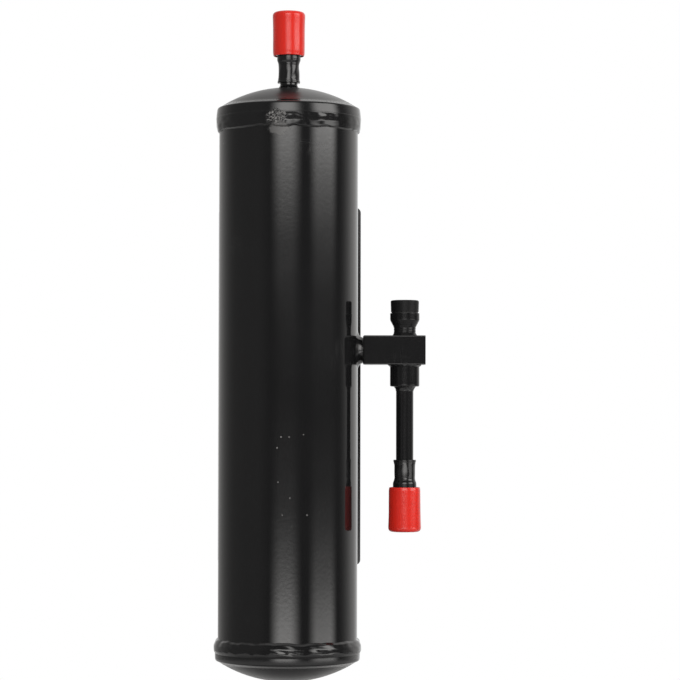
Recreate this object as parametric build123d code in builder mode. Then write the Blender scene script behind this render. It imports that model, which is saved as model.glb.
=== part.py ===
from build123d import *
import os
from math import sqrt

# Receiver drier of a vehicle's air conditioning, a welded steel vessel with an inlet on top,
# an outlet block at mid height with a service port, and a drying bed and pick-up tube inside.
# Millimetres. +Z runs up the vessel's axis, the origin is on it halfway up the shell,
# +X points to the outlet block and +Y to the mounting plate at the back.

os.makedirs("parts", exist_ok=True)

# Vessel shell
shell_outer_r = 38.1
shell_wall = 2.0
shell_half_length = 146.0

# Drawn heads, each a skirt over the shell's end under a shallow spherical crown
head_wall = 1.5
head_fit_gap = 0.05
skirt_lap = 3.0
top_head_rise = 17.2
bottom_head_rise = 15.7
crown_r = 66.0
knuckle_r = 3.0

# Weld beads between the skirts and the shell
bead_toe_lap = 8.4
bead_crest_lap = 4.0
bead_end_rise = 0.2
top_bead_proud = 1.8
bottom_bead_proud = 2.3

# Mounting plate at the back and its stitch welds
plate_width = 80.0
plate_height = 201.0
plate_thickness = 3.0
plate_corner_r = 3.0
plate_gap = 0.05
stitch_z = 70.0
stitch_length = 30.0
stitch_inner_x = 7.0
stitch_root_x = 12.0
stitch_outer_x = 14.5

# Tube used for the inlet, the outlet and the pick-up
tube_outer_r = 4.7625
tube_wall = 1.24
tube_fit_gap = 0.05

# Inlet stub on the top head
stub_inside_length = 5.0
inlet_lip_rise = 2.5
stub_braze_foot_r = 7.3
stub_braze_height = 1.5
braze_hollow_r = 3.5

# Turned tube fittings with a male thread, measured from the lip on the tube's side
lip_r = 6.2
lip_height = 1.1
barrel_base_r = 6.0
barrel_neck_r = 5.7
barrel_end = 10.8
collar_r = 6.45
collar_start = 12.6
collar_end = 15.2
relief_r = 6.9
thread_start = 16.6
thread_r = 7.85
thread_end = 27.2
thread_chamfer = 0.9
pilot_r = 4.1
pilot_depth = 9.0
pilot_chamfer = 0.8
passage_r = 3.4
socket_depth = 8.0

# Push-on caps over the fittings
cap_length = 24.7
cap_start = 15.0
cap_open_r = 8.6
cap_closed_r = 9.15
cap_wall = 0.65
cap_end_wall = 1.3
cap_corner_r = 2.6

# Outlet block
block_gap = 2.8
block_length = 34.2
block_z = 19.1
block_height = 16.0
block_depth = 16.0
block_corner_r = 1.3
block_bevel = 0.35
spigot_r = 6.8
spigot_inside_length = 3.5
spigot_hole_gap = 0.1
spigot_weld_foot_r = 10.6
spigot_weld_foot_sink = 0.8
spigot_weld_neck_r = 7.1
spigot_weld_depth = 2.7
spigot_weld_height = 2.2
spigot_weld_hollow_r = 6.0
port_setback = 11.2
gallery_r = 4.0
seat_gap = 0.05

# Service port on top of the block
port_shank_r = 5.5
port_shank_length = 7.5
port_collar_r = 6.9
port_collar_height = 0.9
port_neck_r = 6.05
port_neck_height = 4.7
port_cone_height = 8.5
port_head_r = 8.05
port_head_height = 12.4
port_edge = 0.4
cap_thread_bore_r = 5.0
cap_thread_depth = 6.4
core_bore_r = 2.6
core_seat_depth = 2.1
port_passage_r = 2.2

# Valve core and its pin
core_gap = 0.05
core_length = 7.6
core_guide_r = 1.0
core_slot_width = 1.0
core_slot_depth = 1.2
pin_r = 0.8
pin_rise = 0.6
pin_seal_r = 1.9
pin_seal_height = 0.7

# Screw cap of the service port
gasket_height = 0.5
gasket_outer_r = 7.2
gasket_gap = 0.15
valve_cap_r = 7.8
valve_cap_height = 6.6
valve_cap_bevel = 0.6
flute_count = 24
flute_r = 0.5
flute_depth = 0.25
stud_gap = 0.1
stud_length = 4.9

# Outlet boss and tube under the block
boss_r = 8.1
boss_length = 11.9
boss_edge_r = 1.0
boss_shank_r = 5.5
boss_shank_length = 4.0
boss_socket_depth = 7.0
boss_weld_foot_r = 8.9
boss_weld_height = 0.9
outlet_reach = 40.0
outlet_braze_foot_r = 6.0
outlet_braze_height = 2.6

# Drying bed in the upper half of the vessel
bed_gap = 0.4
bed_below_rim = 86.0
ring_height = 3.0
ring_width = 3.0
screen_thickness = 1.2
screen_hole_r = 3.2
screen_rings = ((6, 12.0), (10, 25.0))
felt_height = 6.0
desiccant_height = 60.0

# Flat-wire spring that holds the bed down
spring_r = 20.0
spring_wire = 2.0
spring_turns = 2.25
spring_end_gap = 0.3

# Pick-up tube and its strainer near the bottom
pickup_x = 12.0
pickup_above_rim = 6.0
pickup_bend_r = 20.0
pickup_insert = 7.5
strainer_r = 9.0
strainer_wall = 0.8
strainer_above_rim = 14.0
strainer_height = 20.0
strainer_slots = 8
strainer_slot_width = 2.0
strainer_slot_height = 12.0

skirt_outer_r = shell_outer_r + head_fit_gap + head_wall
skirt_end_z = shell_half_length - skirt_lap
top_crown_z = shell_half_length + top_head_rise
bottom_crown_z = shell_half_length + bottom_head_rise
bead_toe_z = shell_half_length - bead_toe_lap
bead_crest_z = shell_half_length - bead_crest_lap
bead_end_z = shell_half_length + bead_end_rise
inlet_lip_z = top_crown_z + inlet_lip_rise
block_start_x = shell_outer_r + block_gap
block_end_x = block_start_x + block_length
spigot_start_x = shell_outer_r - spigot_inside_length
spigot_weld_start_x = shell_outer_r - spigot_weld_depth
spigot_weld_end_x = shell_outer_r + spigot_weld_height
side_x = block_end_x - port_setback
block_top_z = block_z + block_height / 2
block_bottom_z = block_z - block_height / 2
boss_bottom_z = block_bottom_z - boss_length
outlet_lip_z = boss_bottom_z - outlet_reach
port_head_top_z = block_top_z + port_head_height
core_seat_z = block_top_z - core_seat_depth
inlet_plane = Plane(origin=(0, 0, inlet_lip_z), x_dir=(1, 0, 0), z_dir=(0, -1, 0))
outlet_plane = Plane(origin=(side_x, 0, outlet_lip_z), x_dir=(1, 0, 0), z_dir=(0, 1, 0))
side_plane = Plane(origin=(side_x, 0, 0), x_dir=(1, 0, 0), z_dir=(0, -1, 0))


def crown_z(radius, top_z, sphere_r=crown_r):
    """Height of a head's spherical crown at a distance from the vessel's axis."""
    return top_z - crown_r + sqrt(sphere_r**2 - radius**2)


def spin_axis(plane):
    """The turning axis of a piece whose profile is drawn on this plane."""
    return Axis(plane.origin, plane.y_dir)


def save(piece, name):
    """Labels a finished piece and writes it under its own name."""
    piece.part.label = name
    export_step(piece.part, f"parts/{name}.step")


# Shell, a plain tube with one hole for the block's spigot
with BuildPart() as shell:
    with BuildSketch(Plane.XY.offset(-shell_half_length)):
        Circle(shell_outer_r)
        Circle(shell_outer_r - shell_wall, mode=Mode.SUBTRACT)
    extrude(amount=2 * shell_half_length)
    with BuildSketch(Plane.YZ):
        with Locations((0, block_z)):
            Circle(spigot_r + spigot_hole_gap)
    extrude(amount=2 * shell_outer_r, mode=Mode.SUBTRACT)
save(shell, "shell")


# Heads, the same drawing at both ends, with the inlet's hole in the upper one
for side, crown_top_z, name in ((1, top_crown_z, "top_head"), (-1, bottom_crown_z, "bottom_head")):
    with BuildPart() as head:
        with BuildSketch(Plane.XZ) as outline:
            with BuildLine():
                Line((0, side * skirt_end_z), (skirt_outer_r, side * skirt_end_z))
                Line((skirt_outer_r, side * skirt_end_z), (skirt_outer_r, side * crown_z(skirt_outer_r, crown_top_z)))
                ThreePointArc(
                    (skirt_outer_r, side * crown_z(skirt_outer_r, crown_top_z)),
                    (skirt_outer_r / 2, side * crown_z(skirt_outer_r / 2, crown_top_z)),
                    (0, side * crown_top_z),
                )
                Line((0, side * crown_top_z), (0, side * skirt_end_z))
            make_face()
            rim_corners = outline.vertices().group_by(Axis.X)[-1]
            fillet(rim_corners.sort_by(Axis.Y, reverse=side < 0)[-1], radius=knuckle_r)
        revolve(axis=Axis.Z)
        offset(amount=-head_wall, openings=head.faces().filter_by(GeomType.PLANE))
        if side > 0:
            with BuildSketch(Plane.XY.offset(skirt_end_z)):
                Circle(tube_outer_r + tube_fit_gap)
            extrude(amount=crown_top_z, mode=Mode.SUBTRACT)
    save(head, name)


# Weld beads, a lap weld from each skirt's edge down onto the shell
for side, proud, name in ((1, top_bead_proud, "top_weld_bead"), (-1, bottom_bead_proud, "bottom_weld_bead")):
    with BuildPart() as bead:
        with BuildSketch(Plane.XZ):
            with BuildLine():
                Polyline(
                    (shell_outer_r, side * bead_toe_z),
                    (shell_outer_r, side * skirt_end_z),
                    (skirt_outer_r, side * skirt_end_z),
                    (skirt_outer_r, side * bead_end_z),
                )
                ThreePointArc(
                    (skirt_outer_r, side * bead_end_z),
                    (shell_outer_r + proud, side * bead_crest_z),
                    (shell_outer_r, side * bead_toe_z),
                )
            make_face()
        revolve(axis=Axis.Z)
    save(bead, name)


# Mounting plate, flat against the shell's back
with BuildPart() as back_plate:
    with BuildSketch(Plane.XZ.offset(-shell_outer_r - plate_gap)):
        RectangleRounded(plate_width, plate_height, plate_corner_r)
    extrude(amount=-plate_thickness)
save(back_plate, "back_plate")


# Stitch welds in the wedge between the plate and the shell, two on each side
stitch_back_y = shell_outer_r + plate_gap
stitch_front_y = sqrt(shell_outer_r**2 - stitch_root_x**2)
with BuildPart() as plate_welds:
    for height in (-stitch_z, stitch_z):
        with BuildSketch(Plane.XY.offset(height - stitch_length / 2)) as stitch:
            with BuildLine():
                Polyline(
                    (stitch_inner_x, stitch_back_y),
                    (stitch_outer_x, stitch_back_y),
                    (stitch_root_x, stitch_front_y),
                    (stitch_inner_x, stitch_front_y),
                    close=True,
                )
            make_face()
            mirror(about=Plane.YZ)
            Circle(shell_outer_r, mode=Mode.SUBTRACT)
        extrude(amount=stitch_length)
save(plate_welds, "plate_welds")


# Inlet stub and the braze fillet round its foot
with BuildPart() as inlet_tube:
    stub_bottom_z = top_crown_z - head_wall - stub_inside_length
    with BuildSketch(Plane.XY.offset(stub_bottom_z)):
        Circle(tube_outer_r)
        Circle(tube_outer_r - tube_wall, mode=Mode.SUBTRACT)
    extrude(amount=inlet_lip_z + socket_depth - stub_bottom_z)
save(inlet_tube, "inlet_tube")

with BuildPart() as inlet_braze:
    braze_mid_r = (tube_outer_r + stub_braze_foot_r) / 2
    with BuildSketch(Plane.XZ):
        with BuildLine():
            Line((tube_outer_r, crown_z(tube_outer_r, top_crown_z)), (tube_outer_r, top_crown_z + stub_braze_height))
            RadiusArc(
                (tube_outer_r, top_crown_z + stub_braze_height),
                (stub_braze_foot_r, crown_z(stub_braze_foot_r, top_crown_z)),
                -braze_hollow_r,
            )
            ThreePointArc(
                (stub_braze_foot_r, crown_z(stub_braze_foot_r, top_crown_z)),
                (braze_mid_r, crown_z(braze_mid_r, top_crown_z)),
                (tube_outer_r, crown_z(tube_outer_r, top_crown_z)),
            )
        make_face()
    revolve(axis=Axis.Z)
save(inlet_braze, "inlet_braze")


# Turned fittings, alike on the inlet and the outlet
for plane, name in ((inlet_plane, "inlet_fitting"), (outlet_plane, "outlet_fitting")):
    with BuildPart() as fitting:
        with BuildSketch(plane):
            with BuildLine():
                Polyline(
                    (tube_outer_r + tube_fit_gap, 0),
                    (lip_r, 0),
                    (lip_r, lip_height),
                    (barrel_base_r, lip_height),
                    (barrel_neck_r, barrel_end),
                    (collar_r, collar_start),
                    (collar_r, collar_end),
                    (relief_r, collar_end),
                    (relief_r, thread_start),
                    (thread_r, thread_start),
                    (thread_r, thread_end - thread_chamfer),
                    (thread_r - thread_chamfer, thread_end),
                    (pilot_r + pilot_chamfer, thread_end),
                    (pilot_r, thread_end - pilot_chamfer),
                    (pilot_r, thread_end - pilot_depth),
                    (passage_r, thread_end - pilot_depth),
                    (passage_r, socket_depth),
                    (tube_outer_r + tube_fit_gap, socket_depth),
                    close=True,
                )
            make_face()
        revolve(axis=spin_axis(plane))
    save(fitting, name)


# Push-on caps, a little wider at the closed end
cap_end = cap_start + cap_length
for plane, name in ((inlet_plane, "inlet_cap"), (outlet_plane, "outlet_cap")):
    with BuildPart() as push_cap:
        with BuildSketch(plane) as wall:
            with BuildLine():
                Polyline(
                    (cap_open_r - cap_wall, cap_start),
                    (cap_open_r, cap_start),
                    (cap_closed_r, cap_end),
                    (0, cap_end),
                    (0, cap_end - cap_end_wall),
                    (cap_closed_r - cap_wall, cap_end - cap_end_wall),
                    close=True,
                )
            make_face()
            fillet(wall.vertices().sort_by(Axis.X)[-1], radius=cap_corner_r)
            inner_corner = wall.vertices().filter_by_position(
                Axis.Y, cap_end - cap_end_wall, cap_end - cap_end_wall
            )
            fillet(inner_corner.sort_by(Axis.X)[-1], radius=cap_corner_r - cap_wall)
        revolve(axis=spin_axis(plane))
    save(push_cap, name)


# Outlet block with its spigot, drilled along to the spigot and down through both seats
with BuildPart() as side_block:
    with BuildSketch(Plane.YZ.offset(block_start_x)):
        with Locations((0, block_z)):
            Rectangle(block_depth, block_height)
    extrude(amount=block_end_x - block_start_x)
    chamfer(side_block.faces().sort_by(Axis.X)[-1].edges(), length=block_bevel)
    fillet(side_block.faces().sort_by(Axis.X)[0].edges(), radius=block_corner_r)
    with BuildSketch(Plane.YZ.offset(spigot_start_x)):
        with Locations((0, block_z)):
            Circle(spigot_r)
    extrude(amount=block_start_x - spigot_start_x)
    with BuildSketch(Plane.YZ.offset(spigot_start_x)):
        with Locations((0, block_z)):
            Circle(gallery_r)
    extrude(amount=side_x - spigot_start_x, mode=Mode.SUBTRACT)
    with BuildSketch(Plane.YZ.offset(spigot_start_x)):
        with Locations((0, block_z)):
            Circle(tube_outer_r + tube_fit_gap)
    extrude(amount=pickup_insert, mode=Mode.SUBTRACT)
    with BuildSketch(Plane.XY.offset(block_bottom_z)):
        with Locations((side_x, 0)):
            Circle(gallery_r)
    extrude(amount=block_height, mode=Mode.SUBTRACT)
    with BuildSketch(Plane.XY.offset(block_top_z - port_shank_length - seat_gap)):
        with Locations((side_x, 0)):
            Circle(port_shank_r + seat_gap)
    extrude(amount=port_shank_length + seat_gap, mode=Mode.SUBTRACT)
    with BuildSketch(Plane.XY.offset(block_bottom_z)):
        with Locations((side_x, 0)):
            Circle(boss_shank_r + seat_gap)
    extrude(amount=boss_shank_length + seat_gap, mode=Mode.SUBTRACT)
save(side_block, "side_block")


# Weld round the spigot, saddled onto the shell
spigot_plane = Plane(origin=(0, 0, block_z), x_dir=(0, 1, 0), z_dir=(0, 0, -1))
with BuildPart() as block_weld:
    with BuildSketch(spigot_plane):
        with BuildLine():
            Polyline(
                (spigot_weld_neck_r, spigot_weld_end_x),
                (spigot_r, spigot_weld_end_x),
                (spigot_r, spigot_weld_start_x),
                (spigot_weld_foot_r, spigot_weld_start_x),
                (spigot_weld_foot_r, shell_outer_r - spigot_weld_foot_sink),
            )
            RadiusArc(
                (spigot_weld_foot_r, shell_outer_r - spigot_weld_foot_sink),
                (spigot_weld_neck_r, spigot_weld_end_x),
                spigot_weld_hollow_r,
            )
        make_face()
    revolve(axis=Axis((0, 0, block_z), (1, 0, 0)))
    with BuildSketch(Plane.XY.offset(-shell_half_length)):
        Circle(shell_outer_r)
    extrude(amount=2 * shell_half_length, mode=Mode.SUBTRACT)
save(block_weld, "block_weld")


# Service port, a shank in the block, a neck for the coupler's balls and a bored head
port_shank_bottom_z = block_top_z - port_shank_length
with BuildPart() as service_port:
    with BuildSketch(side_plane):
        with BuildLine():
            Polyline(
                (port_passage_r, port_shank_bottom_z),
                (port_shank_r, port_shank_bottom_z),
                (port_shank_r, block_top_z),
                (port_collar_r, block_top_z),
                (port_neck_r, block_top_z + port_collar_height),
                (port_neck_r, block_top_z + port_neck_height),
                (port_head_r, block_top_z + port_cone_height),
                (port_head_r, port_head_top_z - port_edge),
                (port_head_r - port_edge, port_head_top_z),
                (cap_thread_bore_r, port_head_top_z),
                (cap_thread_bore_r, port_head_top_z - cap_thread_depth),
                (core_bore_r, port_head_top_z - cap_thread_depth),
                (core_bore_r, core_seat_z),
                (port_passage_r, core_seat_z),
                close=True,
            )
        make_face()
    revolve(axis=spin_axis(side_plane))
save(service_port, "service_port")


# Valve core, a barrel with a driver slot, and the pin with its seal
core_top_z = core_seat_z + core_length
with BuildPart() as valve_core:
    with BuildSketch(Plane.XY.offset(core_seat_z)):
        with Locations((side_x, 0)):
            Circle(core_bore_r - core_gap)
            Circle(core_guide_r, mode=Mode.SUBTRACT)
    extrude(amount=core_length)
    with BuildSketch(Plane.XY.offset(core_top_z - core_slot_depth)):
        with Locations((side_x, 0)):
            Rectangle(2 * core_bore_r, core_slot_width)
    extrude(amount=core_slot_depth, mode=Mode.SUBTRACT)
save(valve_core, "valve_core")

with BuildPart() as valve_pin:
    with BuildSketch(side_plane):
        with BuildLine():
            Polyline(
                (0, core_seat_z - pin_seal_height),
                (pin_seal_r, core_seat_z - pin_seal_height),
                (pin_seal_r, core_seat_z),
                (pin_r, core_seat_z),
                (pin_r, core_top_z + pin_rise),
                (0, core_top_z + pin_rise),
                close=True,
            )
        make_face()
    revolve(axis=spin_axis(side_plane))
save(valve_pin, "valve_pin")


# Gasket and screw cap that close the port
stud_r = cap_thread_bore_r - stud_gap
valve_cap_bottom_z = port_head_top_z + gasket_height
valve_cap_top_z = valve_cap_bottom_z + valve_cap_height
with BuildPart() as cap_gasket:
    with BuildSketch(Plane.XY.offset(port_head_top_z)):
        with Locations((side_x, 0)):
            Circle(gasket_outer_r)
            Circle(stud_r + gasket_gap, mode=Mode.SUBTRACT)
    extrude(amount=gasket_height)
save(cap_gasket, "cap_gasket")

with BuildPart() as valve_cap:
    with BuildSketch(Plane.XY.offset(valve_cap_bottom_z)):
        with Locations((side_x, 0)):
            Circle(valve_cap_r)
    extrude(amount=valve_cap_top_z - valve_cap_bottom_z)
    chamfer(valve_cap.edges().sort_by(Axis.Z)[-1], length=valve_cap_bevel)
    with BuildSketch(Plane.XY.offset(valve_cap_bottom_z)):
        with Locations((side_x, 0)):
            with PolarLocations(valve_cap_r + flute_r - flute_depth, flute_count):
                Circle(flute_r)
    extrude(amount=valve_cap_top_z - valve_cap_bottom_z - valve_cap_bevel, mode=Mode.SUBTRACT)
    with BuildSketch(Plane.XY.offset(valve_cap_bottom_z)):
        with Locations((side_x, 0)):
            Circle(stud_r)
    extrude(amount=-stud_length)
save(valve_cap, "valve_cap")


# Outlet boss, its weld to the block, the outlet tube and the braze between them
with BuildPart() as outlet_boss:
    with BuildSketch(side_plane) as boss_wall:
        with BuildLine():
            Polyline(
                (passage_r, block_bottom_z + boss_shank_length),
                (boss_shank_r, block_bottom_z + boss_shank_length),
                (boss_shank_r, block_bottom_z),
                (boss_r, block_bottom_z),
                (boss_r, boss_bottom_z),
                (tube_outer_r + tube_fit_gap, boss_bottom_z),
                (tube_outer_r + tube_fit_gap, boss_bottom_z + boss_socket_depth),
                (passage_r, boss_bottom_z + boss_socket_depth),
                close=True,
            )
        make_face()
        fillet(boss_wall.vertices().group_by(Axis.Y)[0].sort_by(Axis.X)[-1], radius=boss_edge_r)
    revolve(axis=spin_axis(side_plane))
save(outlet_boss, "outlet_boss")

with BuildPart() as boss_weld:
    with BuildSketch(side_plane):
        with BuildLine():
            Polyline(
                (boss_r, block_bottom_z - boss_weld_height),
                (boss_r, block_bottom_z),
                (boss_weld_foot_r, block_bottom_z),
            )
            RadiusArc(
                (boss_weld_foot_r, block_bottom_z),
                (boss_r, block_bottom_z - boss_weld_height),
                boss_weld_height,
            )
        make_face()
    revolve(axis=spin_axis(side_plane))
save(boss_weld, "boss_weld")

with BuildPart() as outlet_tube:
    outlet_tube_top_z = boss_bottom_z + boss_socket_depth
    with BuildSketch(Plane.XY.offset(outlet_lip_z - socket_depth)):
        with Locations((side_x, 0)):
            Circle(tube_outer_r)
            Circle(tube_outer_r - tube_wall, mode=Mode.SUBTRACT)
    extrude(amount=outlet_tube_top_z - outlet_lip_z + socket_depth)
save(outlet_tube, "outlet_tube")

with BuildPart() as outlet_braze:
    with BuildSketch(side_plane):
        with BuildLine():
            Polyline(
                (tube_outer_r, boss_bottom_z - outlet_braze_height),
                (tube_outer_r, boss_bottom_z),
                (outlet_braze_foot_r, boss_bottom_z),
            )
            RadiusArc(
                (outlet_braze_foot_r, boss_bottom_z),
                (tube_outer_r, boss_bottom_z - outlet_braze_height),
                -braze_hollow_r,
            )
        make_face()
    revolve(axis=spin_axis(side_plane))
save(outlet_braze, "outlet_braze")


# Drying bed, a stack on a ring that is pressed into the shell
shell_inner_r = shell_outer_r - shell_wall
ring_bottom_z = shell_half_length - bed_below_rim
lower_screen_z = ring_bottom_z + ring_height
lower_felt_z = lower_screen_z + screen_thickness
desiccant_z = lower_felt_z + felt_height
upper_felt_z = desiccant_z + desiccant_height
upper_screen_z = upper_felt_z + felt_height
spring_z = upper_screen_z + screen_thickness

with BuildPart() as support_ring:
    with BuildSketch(Plane.XY.offset(ring_bottom_z)):
        Circle(shell_inner_r)
        Circle(shell_inner_r - ring_width, mode=Mode.SUBTRACT)
    extrude(amount=ring_height)
save(support_ring, "support_ring")

for height, name in ((lower_screen_z, "lower_screen"), (upper_screen_z, "upper_screen")):
    with BuildPart() as screen:
        with BuildSketch(Plane.XY.offset(height)):
            Circle(shell_inner_r - bed_gap)
            Circle(screen_hole_r, mode=Mode.SUBTRACT)
            for holes, ring_r in screen_rings:
                with PolarLocations(ring_r, holes):
                    Circle(screen_hole_r, mode=Mode.SUBTRACT)
        extrude(amount=screen_thickness)
    save(screen, name)

for height, thickness, name in (
    (lower_felt_z, felt_height, "lower_felt"),
    (desiccant_z, desiccant_height, "desiccant"),
    (upper_felt_z, felt_height, "upper_felt"),
):
    with BuildPart() as layer:
        with BuildSketch(Plane.XY.offset(height)):
            Circle(shell_inner_r)
        extrude(amount=thickness)
    save(layer, name)


# Spring between the bed and the top head
spring_top_z = crown_z(spring_r + spring_wire, top_crown_z, crown_r - head_wall) - spring_end_gap
spring_height = spring_top_z - spring_z - spring_wire
with BuildPart() as bed_spring:
    with BuildLine(Plane.XY.offset(spring_z + spring_wire / 2)) as coil:
        Helix(pitch=spring_height / spring_turns, height=spring_height, radius=spring_r)
    with BuildSketch(Plane(origin=coil.line @ 0, x_dir=(1, 0, 0), z_dir=coil.line % 0)):
        Rectangle(spring_wire, spring_wire)
    sweep(is_frenet=True)
save(bed_spring, "bed_spring")


# Pick-up tube from the spigot down to the strainer
pickup_bottom_z = pickup_above_rim - shell_half_length
strainer_top_z = strainer_above_rim - shell_half_length
with BuildPart() as pickup_tube:
    with BuildLine() as route:
        FilletPolyline(
            (spigot_start_x + pickup_insert, 0, block_z),
            (pickup_x, 0, block_z),
            (pickup_x, 0, pickup_bottom_z),
            radius=pickup_bend_r,
        )
    with BuildSketch(Plane(origin=route.line @ 0, z_dir=route.line % 0)):
        Circle(tube_outer_r)
        Circle(tube_outer_r - tube_wall, mode=Mode.SUBTRACT)
    sweep()
save(pickup_tube, "pickup_tube")

with BuildPart() as strainer:
    with BuildSketch(Plane.XY.offset(strainer_top_z - strainer_height)):
        with Locations((pickup_x, 0)):
            Circle(strainer_r)
    extrude(amount=strainer_height)
    with BuildSketch(Plane.XY.offset(strainer_top_z - strainer_height + strainer_wall)):
        with Locations((pickup_x, 0)):
            Circle(strainer_r - strainer_wall)
    extrude(amount=strainer_height - 2 * strainer_wall, mode=Mode.SUBTRACT)
    with BuildSketch(Plane.XY.offset(strainer_top_z - strainer_wall)):
        with Locations((pickup_x, 0)):
            Circle(tube_outer_r + tube_fit_gap)
    extrude(amount=strainer_wall, mode=Mode.SUBTRACT)
    with BuildSketch(Plane.XY.offset(strainer_top_z - strainer_height / 2 - strainer_slot_height / 2)):
        with Locations((pickup_x, 0)):
            with PolarLocations(strainer_r, strainer_slots):
                Rectangle(4 * strainer_wall, strainer_slot_width)
    extrude(amount=strainer_slot_height, mode=Mode.SUBTRACT)
save(strainer, "strainer")
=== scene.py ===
"""Receiver drier of a vehicle's air conditioning: a black enamelled steel vessel with welded heads,
two capped tube ends and a service port. Every surface below is worked out in millimetres and put
into its mesh in metres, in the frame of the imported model."""

import math

import bpy
import numpy as np
from bpy.props import FloatProperty, FloatVectorProperty, IntProperty, PointerProperty
from mathutils import Matrix, Vector


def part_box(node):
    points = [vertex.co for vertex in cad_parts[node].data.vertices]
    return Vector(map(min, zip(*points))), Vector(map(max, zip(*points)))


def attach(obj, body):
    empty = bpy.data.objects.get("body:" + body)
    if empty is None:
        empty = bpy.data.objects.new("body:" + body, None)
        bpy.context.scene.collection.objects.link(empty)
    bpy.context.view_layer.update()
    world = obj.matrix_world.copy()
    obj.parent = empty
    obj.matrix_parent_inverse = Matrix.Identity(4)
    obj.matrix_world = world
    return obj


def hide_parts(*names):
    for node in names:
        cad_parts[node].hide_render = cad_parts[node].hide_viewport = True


bl_info = {
    "name": "Receiver Drier",
    "version": (1, 0, 0),
    "blender": (4, 5, 0),
    "location": "3D View > Sidebar > Drier",
    "description": "Builds the visible surfaces and finishes of a receiver drier",
    "category": "Object",
}

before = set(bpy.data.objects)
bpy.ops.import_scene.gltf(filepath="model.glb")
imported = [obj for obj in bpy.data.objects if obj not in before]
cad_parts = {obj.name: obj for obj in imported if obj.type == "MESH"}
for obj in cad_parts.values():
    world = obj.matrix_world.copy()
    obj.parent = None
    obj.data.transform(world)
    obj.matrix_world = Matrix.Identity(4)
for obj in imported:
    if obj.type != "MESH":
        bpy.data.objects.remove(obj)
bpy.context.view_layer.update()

MM = 0.001
TURN = 2 * math.pi


def node_box(node):
    """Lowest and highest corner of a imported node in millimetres."""
    low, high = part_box(node)
    return np.array(low) / MM, np.array(high) / MM


def node_centre(node):
    """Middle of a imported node's box in millimetres."""
    low, high = node_box(node)
    return (low + high) / 2


SHELL_R = node_box("shell")[1][0]


# ---------------------------------------------------------------- settings


class EnamelSettings(bpy.types.PropertyGroup):
    colour: FloatVectorProperty(
        name="Colour", description="Base colour of the black enamel", subtype="COLOR", size=3,
        min=0, max=1, default=(0.0052, 0.0052, 0.0055),
    )
    roughness: FloatProperty(
        name="Roughness", description="Roughness of clean enamel", subtype="FACTOR", min=0, max=1, default=0.075
    )
    peel: FloatProperty(
        name="Orange peel", description="Depth of the fine waves in the dried enamel", unit="LENGTH",
        precision=6, default=0.000006,
    )
    nib: FloatProperty(
        name="Dust nibs", description="Height of dust grains caught under the enamel", unit="LENGTH",
        precision=6, default=0.00005,
    )


class WeldSettings(bpy.types.PropertyGroup):
    ripple: FloatProperty(
        name="Ripple pitch", description="Distance between the solidified ripples, in millimetres", default=2.3
    )
    ripple_height: FloatProperty(
        name="Ripple height", description="Height of the solidified ripples, in millimetres", default=0.004
    )
    lumps: FloatProperty(
        name="Lumps", description="Height of the long lumps of the beads, in millimetres", default=0.045
    )
    seed: IntProperty(name="Seed", description="Number that the unevenness grows from", default=7)


class FittingSettings(bpy.types.PropertyGroup):
    pitch: FloatProperty(
        name="Thread pitch", description="Pitch of the 18 threads per inch, in millimetres", default=25.4 / 18
    )
    depth: FloatProperty(name="Thread depth", description="Depth of the threads, in millimetres", default=0.78)
    dent: FloatProperty(
        name="Barrel dents", description="Depth of the flattened places on the barrel, in millimetres", default=0.09
    )


class CapSettings(bpy.types.PropertyGroup):
    red: FloatVectorProperty(
        name="Red", description="Colour of the push-on caps", subtype="COLOR", size=3,
        min=0, max=1, default=(0.60, 0.020, 0.012),
    )
    black: FloatVectorProperty(
        name="Black", description="Colour of the screw cap", subtype="COLOR", size=3,
        min=0, max=1, default=(0.0062, 0.0062, 0.0066),
    )
    screw_pitch: FloatProperty(
        name="Screw pitch", description="Rise of the screw cap in one turn, in millimetres", default=1.25
    )


class StageSettings(bpy.types.PropertyGroup):
    camera: FloatVectorProperty(
        name="Camera", description="Place of the camera", subtype="TRANSLATION", size=3,
        default=(0.0284, -1.400, -0.018),
    )
    target: FloatVectorProperty(
        name="Target", description="Point in the middle of the picture", subtype="TRANSLATION", size=3,
        default=(0.0284, 0.0, 0.0247),
    )
    roll: FloatProperty(
        name="Roll", description="Turn of the camera about its own axis", subtype="ANGLE", default=math.radians(0.107)
    )
    lens: FloatProperty(
        name="Lens", description="Focal length on a 36 mm wide sensor", unit="CAMERA", default=135.3
    )
    floor_height: FloatProperty(
        name="Floor", description="Height of the floor", unit="LENGTH", default=-0.30
    )


# ---------------------------------------------------------------- surfaces


def unevenness(angle, along, seed, lowest=2, highest=9, spread=3.0, waves=22):
    """Smooth seeded unevenness of about unit size: a sum of cosines with random directions and
    phases over an angle, where each runs a whole number of times round, and a second parameter."""
    chance = np.random.default_rng(seed)
    round_count = chance.integers(lowest, highest + 1, waves) * chance.choice((-1, 1), waves)
    along_count = chance.normal(0, spread, waves)
    phase = chance.uniform(0, TURN, waves)
    angle, along = np.broadcast_arrays(angle, along)
    waving = np.cos(angle[..., None] * round_count + along[..., None] * along_count + phase)
    return waving.sum(-1) / math.sqrt(waves / 2)


def smooth_step(value, start, end):
    """Cubic rise from 0 at start to 1 at end."""
    t = np.clip((value - start) / (end - start), 0, 1)
    return t * t * (3 - 2 * t)


def window(value, start, full, fade, end):
    """Cubic rise from 0 at start to 1 at full, and fall from 1 at fade to 0 at end."""
    return smooth_step(value, start, full) * (1 - smooth_step(value, fade, end))


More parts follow.
